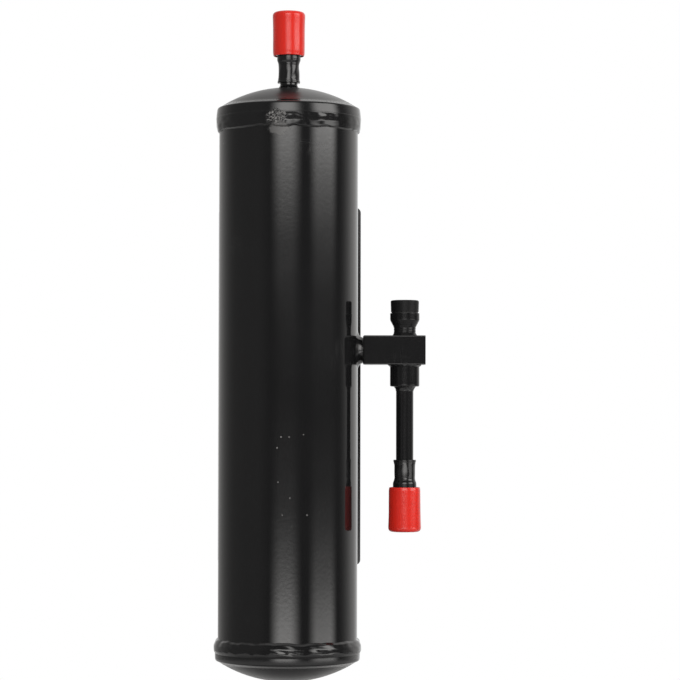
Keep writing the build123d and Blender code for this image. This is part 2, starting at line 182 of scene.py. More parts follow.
def soft_outline(corners, step=0.25, closed=True, points=5):
    """Outline through corners given as (across, along, softness). Each corner becomes the quadratic
    curve between the points one softness away from it on both sides, and every run is then divided
    so that no two points lie further apart than step."""
    corners = np.asarray(corners, float)
    here, soft = corners[:, :2], corners[:, 2:]
    to_last = np.roll(here, 1, 0) - here
    to_next = np.roll(here, -1, 0) - here
    start = here + to_last * np.minimum(soft / np.linalg.norm(to_last, axis=1, keepdims=True), 0.45)
    end = here + to_next * np.minimum(soft / np.linalg.norm(to_next, axis=1, keepdims=True), 0.45)
    t = np.linspace(0, 1, points)[None, :, None]
    line = ((1 - t) ** 2 * start[:, None] + 2 * t * (1 - t) * here[:, None] + t**2 * end[:, None]).reshape(-1, 2)
    if closed:
        line = np.vstack([line, line[:1]])
    length = np.linalg.norm(np.diff(line, axis=0), axis=1)
    line = line[np.concatenate([[True], length > 1e-6])]
    run = np.concatenate([[0], np.cumsum(np.linalg.norm(np.diff(line, axis=0), axis=1))])
    places = np.unique(np.round(np.concatenate([run, np.arange(0, run[-1], step)]), 5))
    places = places[np.concatenate([[True], np.diff(places) > step / 40])]
    if closed:
        places = places[places < run[-1] - step / 40]
    return np.column_stack([np.interp(places, run, line[:, 0]), np.interp(places, run, line[:, 1])])


def carried_round(outline, axis, count, change=None):
    """Grid of an outline of (radius, height) carried once round an upright axis at (x, y). Where
    change is given, it returns the new radius for arrays of angle, radius and height."""
    angle = np.linspace(0, TURN, count, endpoint=False)[:, None]
    radius, height = np.broadcast_to(outline[:, 0], (count, len(outline))), outline[None, :, 1]
    if change is not None:
        radius = change(angle, radius, np.broadcast_to(height, radius.shape))
    return np.stack(
        [axis[0] + radius * np.cos(angle), axis[1] + radius * np.sin(angle), np.broadcast_to(height, radius.shape)], -1
    )


def grid_surface(points, close_rows=True, close_columns=True, poles=False):
    """Vertices, four-cornered faces and three-cornered faces of a grid of points. The grid closes
    on itself along rows or columns where told, and with poles the first and the last column each
    shrink to a single point. Faces are turned so that the closed surface holds a positive volume."""
    rows, columns = points.shape[:2]
    index = np.arange(rows * columns).reshape(rows, columns)
    if poles:
        index[:, 0], index[:, -1] = index[0, 0], index[0, -1]
    if close_rows:
        index = np.vstack([index, index[:1]])
    if close_columns:
        index = np.hstack([index, index[:, :1]])
    quads = np.stack([index[:-1, :-1], index[1:, :-1], index[1:, 1:], index[:-1, 1:]], -1).reshape(-1, 4)
    first, last = quads[:, 0] == quads[:, 1], quads[:, 2] == quads[:, 3]
    triangles = np.vstack([quads[first][:, [0, 2, 3]], quads[last][:, [0, 1, 2]]])
    quads = quads[~(first | last)]
    flat = points.reshape(-1, 3)
    corners = np.vstack([quads[:, [0, 1, 2]], quads[:, [0, 2, 3]], triangles])
    a, b, c = flat[corners[:, 0]], flat[corners[:, 1]], flat[corners[:, 2]]
    if np.einsum("ij,ij->i", a - flat.mean(0), np.cross(b - a, c - a)).sum() < 0:
        quads, triangles = quads[:, ::-1], triangles[:, ::-1]
    used, places = np.unique(np.concatenate([quads.ravel(), triangles.ravel()]), return_inverse=True)
    cut = quads.size
    return flat[used], places[:cut].reshape(-1, 4), places[cut:].reshape(-1, 3)


def make_piece(name, surfaces, body, material, replaced):
    """Puts surfaces in millimetres into one mesh in metres, rides it on its body and hides the
    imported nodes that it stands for."""
    vertices, quads, triangles, start = [], [], [], 0
    for points, four, three in surfaces:
        vertices.append(points)
        quads.append(four + start)
        triangles.append(three + start)
        start += len(points)
    vertices, quads, triangles = np.vstack(vertices) * MM, np.vstack(quads), np.vstack(triangles)
    mesh = bpy.data.meshes.new(name)
    mesh.vertices.add(len(vertices))
    mesh.vertices.foreach_set("co", vertices.astype(np.float32).ravel())
    corners = np.concatenate([quads.ravel(), triangles.ravel()])
    mesh.loops.add(len(corners))
    mesh.loops.foreach_set("vertex_index", corners.astype(np.int32))
    sizes = np.concatenate([np.full(len(quads), 4), np.full(len(triangles), 3)])
    mesh.polygons.add(len(sizes))
    mesh.polygons.foreach_set("loop_start", (np.cumsum(sizes) - sizes).astype(np.int32))
    mesh.update(calc_edges=True)
    if mesh.validate():
        raise RuntimeError(f"the surface of {name} has broken faces")
    mesh.shade_smooth()
    mesh.materials.append(material)
    piece = bpy.data.objects.new(name, mesh)
    bpy.context.scene.collection.objects.link(piece)
    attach(piece, body)
    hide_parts(*replaced)


def dress(material, *nodes):
    """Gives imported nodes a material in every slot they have."""
    for node in nodes:
        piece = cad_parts[node]
        for place in piece.material_slots:
            place.material = material
        if not piece.material_slots:
            raise RuntimeError(f"{node} has no material slot")


# ---------------------------------------------------------------- shader helpers


def fill(tree, node, inputs):
    """Joins or sets a node's inputs by name or number."""
    for name, value in inputs.items():
        if isinstance(value, bpy.types.NodeSocket):
            tree.links.new(value, node.inputs[name])
        else:
            node.inputs[name].default_value = value
    return node


def add(tree, kind, inputs=None, **settings):
    """Adds one node with its settings and inputs."""
    node = tree.nodes.new(kind)
    for name, value in settings.items():
        setattr(node, name, value)
    return fill(tree, node, inputs or {})


def maths(tree, operation, first, second=0.0, clamp=False):
    """One Math node's result."""
    return add(tree, "ShaderNodeMath", {0: first, 1: second}, operation=operation, use_clamp=clamp).outputs[0]


def plus(tree, first, second, clamp=False):
    """Sum of two values."""
    return maths(tree, "ADD", first, second, clamp)


def less(tree, first, second):
    """First value less the second."""
    return maths(tree, "SUBTRACT", first, second)


def times(tree, *values):
    """Product of values, taken from the first on."""
    result = values[0]
    for value in values[1:]:
        result = maths(tree, "MULTIPLY", result, value)
    return result


def ranged(tree, value, low, high, to_low=0.0, to_high=1.0):
    """Smooth passage of a value from one range to another."""
    return add(
        tree, "ShaderNodeMapRange",
        {"Value": value, "From Min": low, "From Max": high, "To Min": to_low, "To Max": to_high},
        interpolation_type="SMOOTHSTEP",
    ).outputs["Result"]


def blended(tree, factor, first, second):
    """Mix of two colours by a factor."""
    first, second = (c if isinstance(c, bpy.types.NodeSocket) else (*c[:3], 1.0) for c in (first, second))
    node = add(tree, "ShaderNodeMix", data_type="RGBA", clamp_factor=True)
    return fill(tree, node, {0: factor, 6: first, 7: second}).outputs[2]


def noise(tree, place, scale, detail=2.0, roughness=0.5):
    """Value of one Noise Texture."""
    return add(
        tree, "ShaderNodeTexNoise", {"Vector": place, "Scale": scale, "Detail": detail, "Roughness": roughness}
    ).outputs[0]


def stretched(tree, place, scale, turn=(0, 0, 0)):
    """Coordinates after a Mapping node."""
    return add(tree, "ShaderNodeMapping", {"Vector": place, "Rotation": turn, "Scale": scale}).outputs[0]


def length(tree, vector):
    """Length of a vector."""
    return add(tree, "ShaderNodeVectorMath", {0: vector}, operation="LENGTH").outputs["Value"]


def from_axis(tree, place):
    """Distance from the upright axis through the origin."""
    return length(tree, stretched(tree, place, (1, 1, 0)))


def new_group(name, values, results):
    """Empty shader group that takes a place and named values and gives named results, with its two
    end nodes."""
    group = bpy.data.node_groups.new(name, "ShaderNodeTree")
    group.interface.new_socket("Place", in_out="INPUT", socket_type="NodeSocketVector")
    for socket, default in values.items():
        group.interface.new_socket(socket, in_out="INPUT", socket_type="NodeSocketFloat").default_value = default
    for socket in results:
        group.interface.new_socket(socket, in_out="OUTPUT", socket_type="NodeSocketFloat")
    return group, group.nodes.new("NodeGroupInput").outputs, group.nodes.new("NodeGroupOutput")


# ---------------------------------------------------------------- shared effects


def group_sprayed_enamel(name):
    """Sprayed enamel: orange peel is two noises of millimetre size, nibs are the near parts of
    sparse cells, and sags lengthen a low noise along the height."""
    group, come, go = new_group(
        name, {"Peel": 1.0, "Nibs": 1.0, "Nib spacing": 90.0}, ("Height", "Nib mask", "Cloud")
    )
    place = come["Place"]
    coarse, fine = noise(group, place, 520.0, 1.5, 0.45), noise(group, place, 1900.0, 1.0)
    peel = plus(group, coarse, times(group, fine, 0.22))
    sag = noise(group, stretched(group, place, (150, 150, 18)), 1.0, 1.0)
    cells = add(group, "ShaderNodeTexVoronoi", {"Vector": place, "Scale": come["Nib spacing"]}).outputs
    rare = ranged(group, add(group, "ShaderNodeSeparateColor", {0: cells["Color"]}).outputs[0], 0.72, 0.76)
    nibs = times(group, ranged(group, cells["Distance"], 0.035, 0.012), rare)
    height = times(group, plus(group, peel, times(group, sag, 0.8)), come["Peel"])
    height = plus(group, height, times(group, nibs, come["Nibs"]))
    fill(group, go, {"Height": height, "Nib mask": nibs, "Cloud": noise(group, place, 34.0, 3.0, 0.6)})
    return group


HAIR_SCRATCHES = (
    ((0.3, 0.5, 0.2), (300, 22, 22)), ((1.1, 0.2, 2.0), (22, 260, 26)), ((0.1, 1.2, 0.9), (24, 24, 340)),
)


def group_fine_wear(name):
    """Handling wear: hair scratches are the thin borders of long cells kept where a low noise
    allows them, and dust is a mottled noise."""
    group, come, go = new_group(name, {"Amount": 1.0}, ("Scratches", "Dust"))
    place, lines = come["Place"], 0.0
    for turn, scale in HAIR_SCRATCHES:
        cells = add(
            group, "ShaderNodeTexVoronoi", {"Vector": stretched(group, place, scale, turn), "Scale": 1.0},
            feature="DISTANCE_TO_EDGE",
        )
        lines = maths(group, "MAXIMUM", lines, ranged(group, cells.outputs["Distance"], 0.012, 0.0))
    where = ranged(group, noise(group, place, 26.0, 2.0), 0.58, 0.72)
    dust = ranged(group, noise(group, place, 900.0, 4.0, 0.7), 0.55, 0.8)
    dust = times(group, dust, ranged(group, noise(group, place, 45.0, 2.0), 0.4, 0.7), come["Amount"])
    fill(group, go, {"Scratches": times(group, lines, where, come["Amount"]), "Dust": dust})
    return group


def group_tool_rings(name):
    """Turning marks: fine bands of the height along one axis, broken by a long noise."""
    group, come, go = new_group(name, {"Pitch": 2600.0}, ("Height",))
    height = add(group, "ShaderNodeSeparateXYZ", {0: come["Place"]}).outputs[2]
    bands = maths(group, "SINE", times(group, height, times(group, come["Pitch"], TURN)))
    broken = noise(group, stretched(group, come["Place"], (60, 60, 1600)), 1.0, 2.0)
    fill(group, go, {"Height": plus(group, times(group, bands, 0.35), broken)})
    return group


GROUPS = {"Sprayed enamel": group_sprayed_enamel, "Fine wear": group_fine_wear, "Tool rings": group_tool_rings}


def effect(tree, name, **values):
    """Results of a shared group placed in a material. The group is made on first use."""
    node = add(tree, "ShaderNodeGroup", node_tree=bpy.data.node_groups.get(name) or GROUPS[name](name))
    return fill(tree, node, values).outputs


# ---------------------------------------------------------------- materials


MICROMETRE = 1e-6


def start_material(name):
    """Material with an output, a Principled node and Object coordinates."""
    material = bpy.data.materials.new(name)
    material.use_nodes = True
    tree = material.node_tree
    tree.nodes.clear()
    surface = tree.nodes.new("ShaderNodeBsdfPrincipled")
    out = tree.nodes.new("ShaderNodeOutputMaterial")
    tree.links.new(surface.outputs[0], out.inputs[0])
    return material, tree, surface, tree.nodes.new("ShaderNodeTexCoord").outputs["Object"]


def bump(tree, surface, height, distance):
    """Joins a height in units of distance to the surface's normal."""
    node = add(tree, "ShaderNodeBump", {"Strength": 1.0, "Distance": distance, "Height": height})
    tree.links.new(node.outputs[0], surface.inputs["Normal"])


def found(name, maker, *values, **named):
    """A material by name, made on first use."""
    return bpy.data.materials.get(name) or maker(name, *values, **named)


DUST_COLOUR = (0.35, 0.33, 0.30)
SCRATCH_COLOUR = (0.30, 0.30, 0.30)
NIB_COLOUR = (0.34, 0.33, 0.31)
# Tone of chipped primer, also used for a painted reflection under the weld's knot.
PRIMER_AND_REFLECTION_COLOUR = (0.20, 0.195, 0.19)


def enamel(name, peel=1.0, roughness=0.0, extra=None, dust=0.5, scratch=0.6, gloss=0.5):
    """Black gloss enamel over steel. extra, where given, returns a height in micrometres, a mask
    of pale places, which are chipped enamel and a painted reflection, and a mask of dull places from the tree and the
    coordinates."""
    settings = bpy.context.scene.drier_enamel
    material, tree, surface, place = start_material(name)
    skin = effect(
        tree, "Sprayed enamel", Place=place, Peel=peel * settings.peel / MICROMETRE, Nibs=settings.nib / MICROMETRE
    )
    wear = effect(tree, "Fine wear", Place=place, Amount=1.0)
    height, chips_and_reflection, dull = skin["Height"], None, None
    if extra is not None:
        more, chips_and_reflection, dull = extra(tree, place)
        height = plus(tree, height, more)
    base = settings.colour
    colour = blended(tree, times(tree, skin["Cloud"], 0.5), base, tuple(1.7 * v for v in base))
    colour = blended(tree, times(tree, wear["Dust"], 0.05 * dust), colour, DUST_COLOUR)
    colour = blended(tree, times(tree, wear["Scratches"], 0.10 * scratch), colour, SCRATCH_COLOUR)
    colour = blended(tree, times(tree, skin["Nib mask"], 0.5), colour, NIB_COLOUR)
    rough = plus(tree, times(tree, skin["Cloud"], 0.06), settings.roughness + roughness - 0.03)
    rough = plus(tree, rough, times(tree, wear["Dust"], 0.30 * dust))
    rough = plus(tree, rough, times(tree, wear["Scratches"], 0.25 * scratch), clamp=True)
    if chips_and_reflection is not None:
        # Pale places: chipped enamel showing primer, and a painted reflection of the light band on the shell under the
        # weld's knot.
        colour = blended(tree, chips_and_reflection, colour, PRIMER_AND_REFLECTION_COLOUR)
        rough = plus(tree, rough, times(tree, chips_and_reflection, 0.8), clamp=True)
    if dull is not None:
        rough = plus(tree, rough, times(tree, dull, 0.16), clamp=True)
    fill(tree, surface, {"Base Color": colour, "Roughness": rough, "IOR": 1.5, "Specular IOR Level": gloss})
    bump(tree, surface, height, MICROMETRE)
    return material


# Places in metres: the knot of the upper weld, the painted reflection of the light band on the shell under it, and
# half their sizes.
KNOT = (-0.0063, -0.0391, 0.1427)
KNOT_REACH = (0.0048, 0.0052, 0.0040)
KNOT_REFLECTION = (-0.0046, -0.0378, 0.1372)
KNOT_REFLECTION_REACH = (0.0056, 0.006, 0.0044)
RAGGED_EDGE = 0.0056
# Strength of the painted reflection under the knot.
REFLECTION_PALENESS = 0.28
CREASE_START_R, CREASE_END_R, CREASE_DEPTH = 0.0362, 0.0383, 330.0
# Grains of grit on the shell's front: across, up and radius in millimetres.
GRIT = (
    (-2.9, -28.2, 0.5), (1.4, -28.2, 0.45), (-5.0, -34.0, 0.5), (-4.5, -52.2, 0.45), (1.9, -60.7, 0.4),
    (11.0, -69.8, 0.5),
)


def ragged_egg(tree, place, centre, reach):
    """Mask of a place: 1 inside an egg about centre with the half sizes in reach, all in
    metres, with a ragged edge."""
    off = add(tree, "ShaderNodeVectorMath", {0: place, 1: centre}, operation="SUBTRACT").outputs[0]
    off = add(tree, "ShaderNodeVectorMath", {0: off, 1: tuple(1 / v for v in reach)}, operation="MULTIPLY").outputs[0]
    ragged = times(tree, less(tree, noise(tree, place, 420.0, 3.0, 0.6), 0.5), RAGGED_EDGE / reach[2])
    return ranged(tree, plus(tree, length(tree, off), ragged), 1.1, 0.75)


def painted_reflection_under_knot(tree, place):
    """Painted reflection: a pale patch on the shell under the weld's knot that stands for the reflection of the light
    band.
    """
    return times(tree, ragged_egg(tree, place, KNOT_REFLECTION, KNOT_REFLECTION_REACH), REFLECTION_PALENESS)


def knot_texture(tree, place):
    """Height and pale flakes of the rough knot on the upper weld, and the painted reflection under it."""
    zone = ragged_egg(tree, place, KNOT, KNOT_REACH)
    flakes = ranged(tree, noise(tree, place, 900.0, 3.0, 0.65), 0.48, 0.62)
    rough = times(tree, noise(tree, place, 1100.0, 3.0, 0.7), 180.0, zone)
    # The pale mask holds the knot's chipped flakes and the painted reflection under it.
    return rough, maths(tree, "MAXIMUM", times(tree, zone, flakes), painted_reflection_under_knot(tree, place))


def weld_texture(tree, place):
    """Extra height of a weld under enamel: low waves of noise."""
    return times(tree, noise(tree, place, 260.0, 1.0, 0.5), 4.0), None, None


def upper_weld_texture(tree, place):
    """The welds' waves with the rough knot and the painted reflection under it."""
    rough, pale = knot_texture(tree, place)
    return plus(tree, weld_texture(tree, place)[0], rough), pale, None


def crease_texture(tree, place):
    """Extra height of the drawn heads: a low step where the crown ends at the shoulder, and a crown
    that is duller than the shoulder."""
    away = from_axis(tree, place)
    step = times(tree, ranged(tree, away, CREASE_START_R, CREASE_END_R), CREASE_DEPTH)
    return step, None, ranged(tree, away, 0.0378, 0.034)


def upper_head_texture(tree, place):
    """The head's crease with the part of the weld's knot that laps over its skirt."""
    step, _, dull = crease_texture(tree, place)
    rough, pale = knot_texture(tree, place)
    return plus(tree, step, rough), pale, dull


def shell_texture(tree, place):
    """Height and pale places of the shell: a painted reflection of the light band under the weld's knot and a few
    grains of grit in the enamel."""
    pale = painted_reflection_under_knot(tree, place)
    for across, up, size in GRIT:
        spot = (across * MM, -math.sqrt(SHELL_R**2 - across**2) * MM, up * MM)
        away = add(tree, "ShaderNodeVectorMath", {0: place, 1: spot}, operation="DISTANCE").outputs["Value"]
        pale = maths(tree, "MAXIMUM", pale, ranged(tree, away, size * MM, 0.35 * size * MM, 0.0, 0.8))
    return times(tree, pale, 12.0), pale, None


def ring_texture(tree, place):
    """Extra height of turned parts under enamel."""
    return times(tree, effect(tree, "Tool rings", Place=place, Pitch=2300.0)[0], 0.6), None, None


ENAMEL_FINISHES = {
    "rolled shell": {"extra": shell_texture},
    "upper head": {"peel": 1.2, "roughness": 0.07, "extra": upper_head_texture},
    "lower head": {"peel": 1.2, "roughness": 0.07, "extra": crease_texture},
    "plate": {"peel": 1.3, "roughness": 0.05},
    "tube": {"peel": 0.8, "roughness": 0.02},
    "upper weld": {"roughness": 0.02, "extra": upper_weld_texture},
    "welds": {"roughness": 0.02, "extra": weld_texture},
    "small welds": {"roughness": 0.12, "extra": weld_texture},
    "turned fitting": {"peel": 0.9, "roughness": 0.09, "extra": ring_texture},
    "sawn block": {"dust": 0.25, "scratch": 0.3, "gloss": 0.36},
    "boss": {"peel": 0.6, "roughness": 0.05, "extra": ring_texture, "dust": 0.2, "scratch": 0.1, "gloss": 0.33},
    "service port": {"peel": 0.6, "roughness": 0.10, "extra": ring_texture, "scratch": 0.2, "gloss": 0.22},
}


def enamelled(part):
    """The enamel finish of a part."""
    return found(f"Enamel on {part}", enamel, **ENAMEL_FINISHES[part])


def steel_piece(name, surfaces, part, node):
    """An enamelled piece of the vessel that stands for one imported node."""
    make_piece(name, surfaces, "vessel", enamelled(part), [node])


def plastic(name, colour, roughness, grain, deeper, clouds=0.25, gloss=0.45):
    """Moulded plastic: a soft grain, flow clouds along the height in a deeper or lighter tone,
    rubbed places and dust."""
    material, tree, surface, place = start_material(name)
    wear = effect(tree, "Fine wear", Place=place, Amount=1.0)
    flow = noise(tree, stretched(tree, place, (120, 120, 45)), 1.0, 3.0, 0.6)
    base = blended(tree, times(tree, flow, clouds * 2), colour, tuple(deeper * v for v in colour))
    base = blended(tree, times(tree, wear["Dust"], 0.06), base, (0.7, 0.66, 0.6))
    rough = plus(tree, times(tree, noise(tree, place, 240.0, 3.0), 0.12), roughness - 0.06)
    rough = plus(tree, rough, times(tree, wear["Scratches"], 0.2), clamp=True)
    fill(tree, surface, {"Base Color": base, "Roughness": rough, "IOR": 1.49, "Specular IOR Level": gloss})
    fine, wide = noise(tree, place, 1800.0, 2.0), noise(tree, place, 160.0, 2.0)
    height = plus(tree, times(tree, fine, 0.25), times(tree, wide, 3.0))
    bump(tree, surface, less(tree, height, times(tree, wear["Scratches"], 1.2)), grain)
    return material


def bare_metal(name, colour, roughness, ring_height):
    """Turned or rolled metal: fine rings, stains and a little tarnish."""
    material, tree, surface, place = start_material(name)
    stain = ranged(tree, noise(tree, place, 160.0, 4.0, 0.65), 0.4, 0.75)
    tone = blended(tree, stain, colour, tuple(0.55 * v for v in colour))
    rough = plus(tree, times(tree, stain, 0.2), roughness)
    fill(tree, surface, {"Base Color": tone, "Roughness": rough, "Metallic": 1.0})
    bump(tree, surface, effect(tree, "Tool rings", Place=place, Pitch=3200.0)[0], ring_height)
    return material


def felt(name):
    """Pressed felt: crossed short fibres as a high noise over a low mottling."""
    material, tree, surface, place = start_material(name)
    fibres = noise(tree, stretched(tree, place, (2600, 900, 2600), (0, 0, 0.6)), 1.0, 4.0, 0.7)
    tone = blended(tree, fibres, (0.62, 0.58, 0.50), (0.80, 0.77, 0.70))
    rough = ranged(tree, fibres, 0.0, 1.0, 0.85, 1.0)
    fill(tree, surface, {"Base Color": tone, "Roughness": rough, "Sheen Weight": 0.3})
    bump(tree, surface, fibres, 0.0003)
    return material


def beads(name):
    """Packed desiccant beads: round cells of about 2 mm with their own tones."""
    material, tree, surface, place = start_material(name)
    cells = add(tree, "ShaderNodeTexVoronoi", {"Vector": place, "Scale": 480.0}).outputs
    tone = add(tree, "ShaderNodeSeparateColor", {0: cells["Color"]}).outputs[0]
    colour = blended(tree, tone, (0.55, 0.47, 0.36), (0.74, 0.68, 0.57))
    fill(tree, surface, {"Base Color": colour, "Roughness": ranged(tree, tone, 0.0, 1.0, 0.6, 0.8)})
    bump(tree, surface, less(tree, 1.0, cells["Distance"]), 0.0012)
    return material


# ---------------------------------------------------------------- vessel and welds


CROWN_R = 70.0
CROWN_EDGE_R = 38.2
HEAD_WALL = 1.5
# Corners of the heads' shoulders as (radius, distance from the shell's middle, softness).
TOP_SHOULDER = ((39.15, 151.3, 1.1), (39.68, 146.9, 1.5), (39.6, 144.5, 0.5))
BOTTOM_SHOULDER = ((39.5, 149.9, 1.5), (39.64, 146.5, 1.0))


def drawn_head(node, side, shoulder):
    """Surface of a drawn head: a spherical crown, whose height is the pole's less the ball's radius
    plus the root of the ball's radius squared less the distance squared, then the shoulder's
    corners down to the skirt's edge, and the same line inside by the wall. The upper one has a hole
    for the stub, the lower one closes at its poles."""
    low, high = node_box(node)
    pole, edge = (high[2], low[2]) if side > 0 else (-low[2], -high[2])
    hole = node_box("inlet_tube")[1][0] + 0.05 if side > 0 else 0.0

    def crown(start, end, ball):
        reach = np.linspace(start, end, 16)
        return np.column_stack([reach, pole - CROWN_R + np.sqrt(ball**2 - reach**2), np.full(16, 1.1)])

    skirt_r = high[0]
    inside_r = skirt_r - HEAD_WALL
    skirt = [(skirt_r - 0.1, edge, 0.2), (inside_r, edge, 0.2), (inside_r, edge + 5.5, 1.5)]
    corners = [
        crown(hole, CROWN_EDGE_R, CROWN_R), shoulder, skirt, crown(CROWN_EDGE_R - 2.2, hole, CROWN_R - HEAD_WALL)
    ]
    line = soft_outline(np.vstack(corners), 0.9, closed=side > 0, points=6)
    line[:, 1] *= side
    return grid_surface(carried_round(line, (0.0, 0.0), 300), close_columns=side > 0, poles=side < 0)


class DRIER_OT_vessel(bpy.types.Operator):
    """Enamels the shell, plate and tubes and draws the heads"""

    bl_idname = "drier.vessel"
    bl_label = "Enamel the vessel"

    def execute(self, context):
        dress(enamelled("rolled shell"), "shell")
        steel_piece("head_top", [drawn_head("top_head", 1, TOP_SHOULDER)], "upper head", "top_head")
        steel_piece("head_bottom", [drawn_head("bottom_head", -1, BOTTOM_SHOULDER)], "lower head", "bottom_head")
        dress(enamelled("plate"), "back_plate", "plate_welds")
        dress(enamelled("tube"), "inlet_tube", "outlet_tube")
        return {"FINISHED"}


# Corners across the beads as (share of the width from the toe, height over the shell).
TOP_BEAD = ((0, 0), (0.09, 0.85), (0.42, 1.48), (0.70, 1.62), (1.0, 1.70))
BOTTOM_BEAD = ((0, 0), (0.14, 1.2), (0.40, 2.0), (0.68, 2.18), (0.82, 2.1), (1.0, 1.45))
# Larger moves of the toes as (compass in degrees, width in degrees, shift in millimetres).
TOP_TOE_MARKS = ((-113, 8, 0.4), (-92, 4, -0.5), (-84, 3, 0.4), (-70, 12, -0.3))
BOTTOM_TOE_MARKS = ((-95, 10, -0.3),)
KNOT_SIZE, KNOT_PROUD, KNOT_LIMIT_R = 4.2, 0.5, 40.35


def lap_bead(node, side, profile, settings, seed, toe_marks):
    """Ring of a lap weld. Across it the radius is the shell's plus a rounded line through the
    profile's corners; along it the toe wanders, long lumps swell and sink, and faint crescents
    follow each other. Three more points behind it close the ring."""
    low, high = node_box(node)
    near, far = (low[2], high[2]) if side > 0 else (high[2], low[2])
    angle = np.linspace(0, TURN, 900, endpoint=False)[:, None]
    across = np.linspace(0, 1, 48)[None, :]
    wander = 0.20 * unevenness(angle, 0.0, seed, 3, 20) + 0.05 * unevenness(angle, 0.0, seed + 1, 22, 50)
    for centre, width, shift in toe_marks:
        off = (np.degrees(angle) - centre + 180) % 360 - 180
        wander = wander + shift * np.exp(-((off / width) ** 2))
    toe = near + side * np.maximum(wander + 0.45, 0.02)
    height = toe + (far - toe) * across
    corners = np.column_stack([profile, np.full(len(profile), 0.07)])
    line = soft_outline(corners, 0.02, closed=False, points=7)
    base = SHELL_R + np.interp(across, line[:, 0], line[:, 1])
    crest = window(across, 0.0, 0.16, 0.72, 1.0)
    beat = round(TURN * SHELL_R / settings.ripple) * angle
    ripple = np.cos(beat + across**2 * 5.0 + 2.5 * unevenness(angle, 0.0, seed + 4, 2, 24))
    lumps = unevenness(angle, across * 4, seed + 5, 6, 28, 1.5)
    lumps = settings.lumps * (lumps + 0.2 * unevenness(angle, across * 8, seed + 6, 16, 44, 1.5))
    radius = base + crest * (lumps + settings.ripple_height * ripple)
    radius = np.minimum(radius, high[0] - 0.02)
    back_height = toe + (far - toe) * np.array([0.96, 0.5, 0.06])[None, :]
    back_radius = np.broadcast_to(SHELL_R + np.array([0.9, -0.2, -0.4])[None, :], back_height.shape)
    radius, height = np.hstack([radius, back_radius]), np.hstack([height, back_height])
    return np.stack([radius * np.cos(angle), radius * np.sin(angle), height], -1)


def with_knot(points, centre, seed):
    """Raises a rough knot on a bead: outwards by a bell of the distance from centre, with an
    unevenness laid over it."""
    away = np.linalg.norm(points - np.array(centre), axis=-1)
    bell = np.exp(-((away / KNOT_SIZE) ** 4))
    angle = np.arctan2(points[..., 1], points[..., 0])
    rough = unevenness(angle, points[..., 2] * 1.3, seed, 60, 160, 2.0)
    radius = np.hypot(points[..., 0], points[..., 1])
    outside = radius > SHELL_R + 0.1
    grown = np.minimum(radius + np.where(outside, bell * (KNOT_PROUD + 0.22 * rough), 0), KNOT_LIMIT_R)
    moved = points.copy()
    moved[..., :2] *= (grown / radius)[..., None]
    return moved


def saddle_weld(seed):
    """Weld between the spigot and the round shell: for every angle about the spigot the line runs
    from a foot on the shell, in a hollow quadratic curve, up to the neck, and closes inside."""
    centre_z = node_centre("side_block")[2]
    count, steps, top_x = 240, 26, 40.75
    angle = np.linspace(0, TURN, count, endpoint=False)[:, None]
    t = np.linspace(0, 1, steps)[None, :]
    foot = 10.9 + 0.35 * unevenness(angle, 0.0, seed, 2, 6)
    neck = 7.1 + 0.06 * unevenness(angle, 0.0, seed + 1, 2, 5)
    out = (1 - t) ** 2 * foot + 2 * t * (1 - t) * 7.5 + t**2 * neck
    out = out + 0.09 * np.sin(math.pi * t) * unevenness(angle, t * 2, seed + 2, 3, 12, 1.5)
    lift = 1 - (1 - t**1.5) ** 1.1 + 0 * angle
    out = np.hstack([out, np.broadcast_to(np.array([6.7, 6.7, 9.5])[None, :], (count, 3))])
    y, z = out * np.cos(angle), centre_z + out * np.sin(angle)
    on_shell = np.sqrt(SHELL_R**2 - y**2)
    x_front = on_shell[:, :steps] - 0.06 + (top_x - on_shell[:, :steps]) * lift
    x_back = np.hstack([np.full((count, 1), top_x - 0.15), on_shell[:, steps + 1 :] - 0.9])
    return np.stack([np.hstack([x_front, x_back]), y, z], -1)


def ring_weld(node, outline, count, seed, amount, lean=0.0):
    """Fillet ring round a node's upright axis: its outline is pushed out by an unevenness and by
    lean towards +X, most where the outline is widest."""
    inner, widest = outline[:, 0].min(), outline[:, 0].max()

    def change(angle, radius, height):
        share = (radius - inner) / (widest - inner)
        push = amount * unevenness(angle, height * 2, seed, 4, 24, 1.5) + lean * np.cos(angle)
        return radius + share * push

    return grid_surface(carried_round(outline, node_centre(node), count, change))


def hollow_arc(foot, top, hollow, count=14):
    """Hollow quadratic curve from a foot to the top of a fillet, bent towards the corner between
    them by the share hollow."""
    foot, top = np.array(foot, float), np.array(top, float)
    corner = np.array([top[0], foot[1]])
    control = (foot + top) / 2 * (1 - hollow) + corner * hollow
    t = np.linspace(0, 1, count)[:, None]
    return (1 - t) ** 2 * foot + 2 * t * (1 - t) * control + t**2 * top


